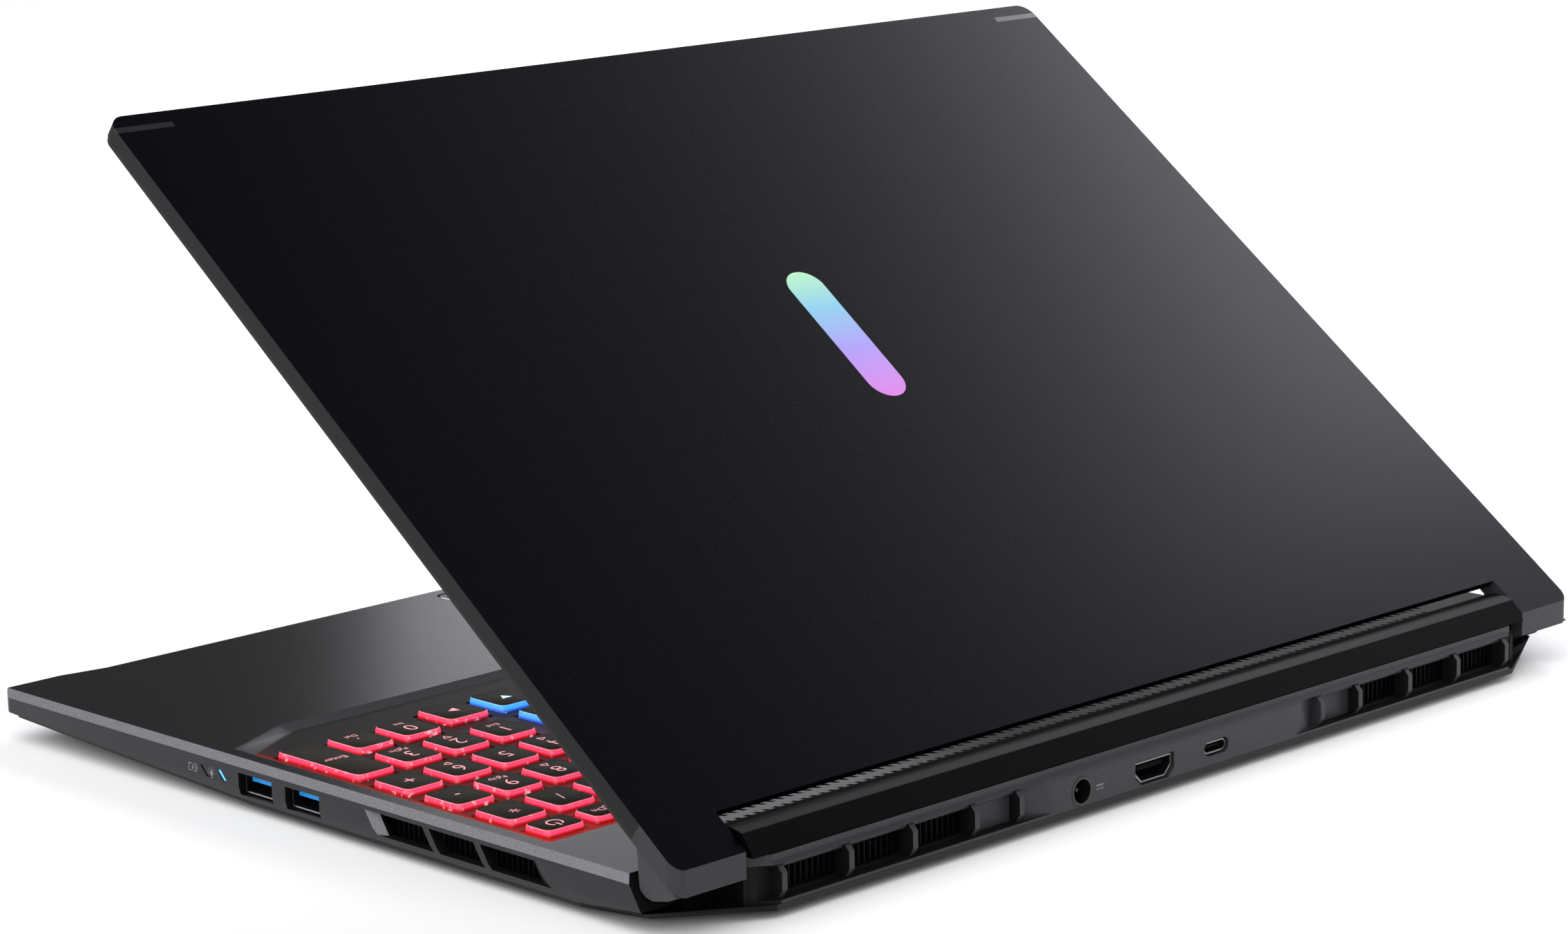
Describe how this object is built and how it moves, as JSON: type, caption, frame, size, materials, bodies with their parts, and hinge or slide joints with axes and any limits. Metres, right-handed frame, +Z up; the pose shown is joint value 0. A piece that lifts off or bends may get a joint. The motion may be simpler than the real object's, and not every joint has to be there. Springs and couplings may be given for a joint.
{
  "type": "laptop computer",
  "caption": "Slim laptop computer with a hinged screen lid, lit keyboard with number pad, click touchpad, side and rear sockets and ribbed rear air vents.",
  "frame": {"origin": "centre of the footprint on the surface that the feet stand on", "axes": "+X to the user's right, +Y to the back, where the hinge is, +Z up"},
  "size_m": [0.3588, 0.2788, 0.1802],
  "materials": {
    "case_charcoal": "satin anodised, fine grain",
    "under_charcoal": "matt coated",
    "lid_black": "satin anodised, fine grain",
    "back_plastic": "finely textured",
    "bezel_plastic": "finely textured",
    "screen_black": "smooth, dark",
    "key_black": "satin, with lit edges",
    "pad_black": "silky",
    "rubber_black": "matt",
    "socket_steel": "bright",
    "socket_plastic": "moulded",
    "circuit_green": "solder mask",
    "pipe_copper": "drawn",
    "fin_metal": "bright",
    "fan_black": "moulded",
    "battery_wrap": "wrapped",
    "plate_metal": "pressed sheet",
    "light_pipe": "clear",
    "trim_black": "polished",
    "cap_grey": "finely textured"
  },
  "bodies": {
    "base": {"bottom_cover": "under_charcoal", "top_case": "case_charcoal", "hinge_bar": "back_plastic", "rear_panel": "back_plastic", "video_port": "socket_steel", "type_c_port": "socket_steel", "dc_jack": "socket_plastic", "type_a_ports": "socket_steel", "audio_jack": "socket_plastic", "network_port": "socket_plastic", "status_lights": "light_pipe", "keyboard_plate": "plate_metal", "mainboard": "circuit_green", "battery_pack": "battery_wrap", "speakers": "fan_black", "fan_housing_left": "fan_black", "fan_housing_right": "fan_black", "fin_stacks": "fin_metal", "cold_plate": "pipe_copper", "heat_pipes": "pipe_copper", "memory_modules": "circuit_green", "ssd_module": "circuit_green", "wireless_card": "circuit_green", "hinge_brackets": "socket_steel", "rubber_feet": "rubber_black", "bottom_screws": "socket_steel"},
    "lid": {"lid_cover": "lid_black", "screen_bezel": "bezel_plastic", "display_panel": "screen_black", "webcam_module": "trim_black", "lid_bumpers": "rubber_black", "lid_inlay": "trim_black", "lid_strips": "trim_black", "hinge_arms": "socket_steel", "hinge_caps": "cap_grey"},
    "touchpad": {"touchpad": "pad_black"},
    "fan_rotor_left": {"fan_rotor_left": "fan_black"},
    "fan_rotor_right": {"fan_rotor_right": "fan_black"},
    "numpad_enter_key": {"numpad_enter_key": "key_black"},
    "plus_key": {"plus_key": "key_black"},
    "minus_key": {"minus_key": "key_black"},
    "multiply_key": {"multiply_key": "key_black"},
    "power_key": {"power_key": "key_black"},
    "dot_key": {"dot_key": "key_black"},
    "three_key": {"three_key": "key_black"},
    "six_key": {"six_key": "key_black"},
    "nine_key": {"nine_key": "key_black"},
    "divide_key": {"divide_key": "key_black"},
    "zero_key": {"zero_key": "key_black"},
    "two_key": {"two_key": "key_black"},
    "five_key": {"five_key": "key_black"},
    "eight_key": {"eight_key": "key_black"},
    "one_key": {"one_key": "key_black"},
    "right_arrow_key": {"right_arrow_key": "key_black"},
    "function_row_keys": {"function_row_keys": "key_black"},
    "number_row_keys": {"number_row_keys": "key_black"},
    "upper_row_keys": {"upper_row_keys": "key_black"},
    "home_row_keys": {"home_row_keys": "key_black"},
    "lower_row_keys": {"lower_row_keys": "key_black"},
    "bottom_row_keys": {"bottom_row_keys": "key_black"}
  },
  "joints": [
    {"name": "lid_hinge", "type": "hinge", "parent": "base", "child": "lid", "pos_m": [0, 0.13075, 0.0161], "axis": [-1, 0, 0], "range_deg": [-37.28, 97.7]},
    {"name": "touchpad_click", "type": "hinge", "parent": "base", "child": "touchpad", "pos_m": [-0.0343, -0.05345, 0.0146], "axis": [1, 0, 0], "range_deg": [0, 0.35], "stiffness_Nm_per_rad": 20, "springref_deg": -0.23},
    {"name": "fan_left_spin", "type": "hinge", "parent": "base", "child": "fan_rotor_left", "pos_m": [-0.098, 0.07315, 0.0067], "axis": [0, 0, 1], "continuous": true},
    {"name": "fan_right_spin", "type": "hinge", "parent": "base", "child": "fan_rotor_right", "pos_m": [0.098, 0.07315, 0.0067], "axis": [0, 0, 1], "continuous": true},
    {"name": "numpad_enter_key_press", "type": "slide", "parent": "base", "child": "numpad_enter_key", "axis": [0, 0, -1], "range_m": [0, 0.0013], "stiffness_N_per_m": 400, "springref_m": -0.0005},
    {"name": "plus_key_press", "type": "slide", "parent": "base", "child": "plus_key", "axis": [0, 0, -1], "range_m": [0, 0.0013], "stiffness_N_per_m": 400, "springref_m": -0.0005},
    {"name": "minus_key_press", "type": "slide", "parent": "base", "child": "minus_key", "axis": [0, 0, -1], "range_m": [0, 0.0013], "stiffness_N_per_m": 400, "springref_m": -0.0005},
    {"name": "multiply_key_press", "type": "slide", "parent": "base", "child": "multiply_key", "axis": [0, 0, -1], "range_m": [0, 0.0013], "stiffness_N_per_m": 400, "springref_m": -0.0005},
    {"name": "power_key_press", "type": "slide", "parent": "base", "child": "power_key", "axis": [0, 0, -1], "range_m": [0, 0.0013], "stiffness_N_per_m": 400, "springref_m": -0.0005},
    {"name": "dot_key_press", "type": "slide", "parent": "base", "child": "dot_key", "axis": [0, 0, -1], "range_m": [0, 0.0013], "stiffness_N_per_m": 400, "springref_m": -0.0005},
    {"name": "three_key_press", "type": "slide", "parent": "base", "child": "three_key", "axis": [0, 0, -1], "range_m": [0, 0.0013], "stiffness_N_per_m": 400, "springref_m": -0.0005},
    {"name": "six_key_press", "type": "slide", "parent": "base", "child": "six_key", "axis": [0, 0, -1], "range_m": [0, 0.0013], "stiffness_N_per_m": 400, "springref_m": -0.0005},
    {"name": "nine_key_press", "type": "slide", "parent": "base", "child": "nine_key", "axis": [0, 0, -1], "range_m": [0, 0.0013], "stiffness_N_per_m": 400, "springref_m": -0.0005},
    {"name": "divide_key_press", "type": "slide", "parent": "base", "child": "divide_key", "axis": [0, 0, -1], "range_m": [0, 0.0013], "stiffness_N_per_m": 400, "springref_m": -0.0005},
    {"name": "zero_key_press", "type": "slide", "parent": "base", "child": "zero_key", "axis": [0, 0, -1], "range_m": [0, 0.0013], "stiffness_N_per_m": 400, "springref_m": -0.0005},
    {"name": "two_key_press", "type": "slide", "parent": "base", "child": "two_key", "axis": [0, 0, -1], "range_m": [0, 0.0013], "stiffness_N_per_m": 400, "springref_m": -0.0005},
    {"name": "five_key_press", "type": "slide", "parent": "base", "child": "five_key", "axis": [0, 0, -1], "range_m": [0, 0.0013], "stiffness_N_per_m": 400, "springref_m": -0.0005},
    {"name": "eight_key_press", "type": "slide", "parent": "base", "child": "eight_key", "axis": [0, 0, -1], "range_m": [0, 0.0013], "stiffness_N_per_m": 400, "springref_m": -0.0005},
    {"name": "one_key_press", "type": "slide", "parent": "base", "child": "one_key", "axis": [0, 0, -1], "range_m": [0, 0.0013], "stiffness_N_per_m": 400, "springref_m": -0.0005},
    {"name": "right_arrow_key_press", "type": "slide", "parent": "base", "child": "right_arrow_key", "axis": [0, 0, -1], "range_m": [0, 0.0013], "stiffness_N_per_m": 400, "springref_m": -0.0005},
    {"name": "function_row_keys_press", "type": "slide", "parent": "base", "child": "function_row_keys", "axis": [0, 0, -1], "range_m": [0, 0.0013], "stiffness_N_per_m": 1200, "springref_m": -0.0005},
    {"name": "number_row_keys_press", "type": "slide", "parent": "base", "child": "number_row_keys", "axis": [0, 0, -1], "range_m": [0, 0.0013], "stiffness_N_per_m": 1200, "springref_m": -0.0005},
    {"name": "upper_row_keys_press", "type": "slide", "parent": "base", "child": "upper_row_keys", "axis": [0, 0, -1], "range_m": [0, 0.0013], "stiffness_N_per_m": 1200, "springref_m": -0.0005},
    {"name": "home_row_keys_press", "type": "slide", "parent": "base", "child": "home_row_keys", "axis": [0, 0, -1], "range_m": [0, 0.0013], "stiffness_N_per_m": 1200, "springref_m": -0.0005},
    {"name": "lower_row_keys_press", "type": "slide", "parent": "base", "child": "lower_row_keys", "axis": [0, 0, -1], "range_m": [0, 0.0013], "stiffness_N_per_m": 1200, "springref_m": -0.0005},
    {"name": "bottom_row_keys_press", "type": "slide", "parent": "base", "child": "bottom_row_keys", "axis": [0, 0, -1], "range_m": [0, 0.0013], "stiffness_N_per_m": 1200, "springref_m": -0.0005}
  ]
}
